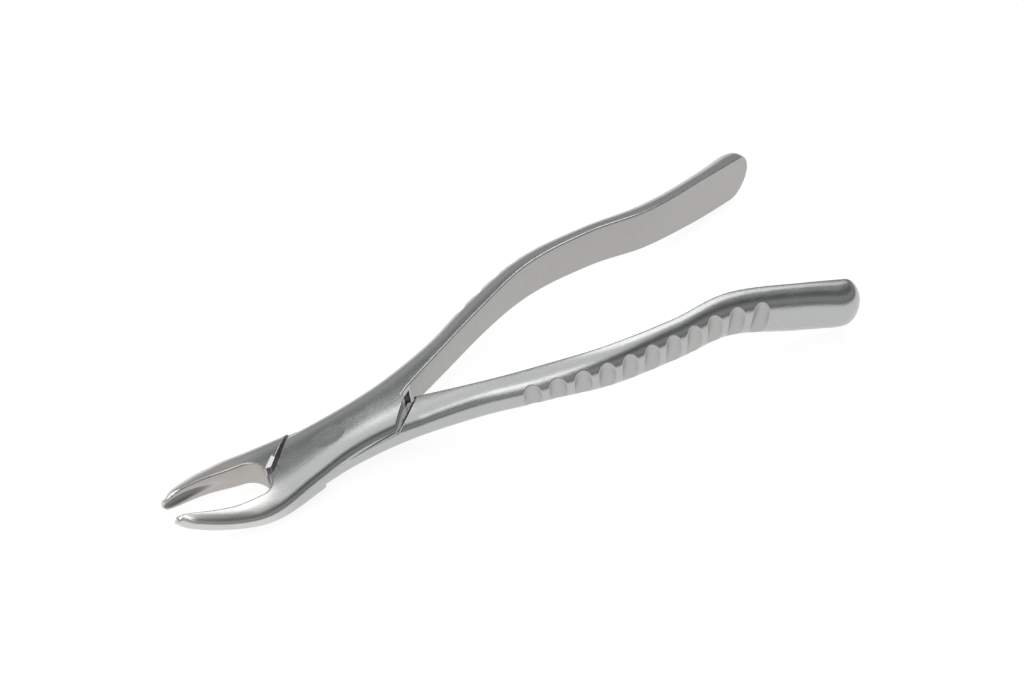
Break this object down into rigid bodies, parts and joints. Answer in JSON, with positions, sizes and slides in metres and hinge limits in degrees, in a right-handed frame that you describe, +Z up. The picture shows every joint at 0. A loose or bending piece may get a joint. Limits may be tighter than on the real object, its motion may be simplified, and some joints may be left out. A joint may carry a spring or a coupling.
{
  "type": "dental extraction forceps",
  "caption": "Steel tooth extraction forceps with crossed halves, a shouldered lap joint, hollow curved beaks and S-shaped handles with finger grooves.",
  "frame": {"origin": "middle of the bounding box, on the plane the forceps lies on", "axes": "+X along the forceps from the beaks to the handle ends, +Y across it towards the upper half's handle, +Z up from the plane it lies on"},
  "size_m": [0.1764, 0.0588, 0.0199],
  "materials": {
    "steel": "satin",
    "pin_steel": "satin"
  },
  "bodies": {
    "upper": {"upper_half": "steel", "pivot_pin": "pin_steel"},
    "lower": {"lower_half": "steel"}
  },
  "joints": [
    {"name": "pivot", "type": "hinge", "parent": "upper", "child": "lower", "pos_m": [-0.04185, -0.00044, 0.00729], "axis": [0.1599, 0, -0.9871], "range_deg": [-4.4, 30]}
  ]
}
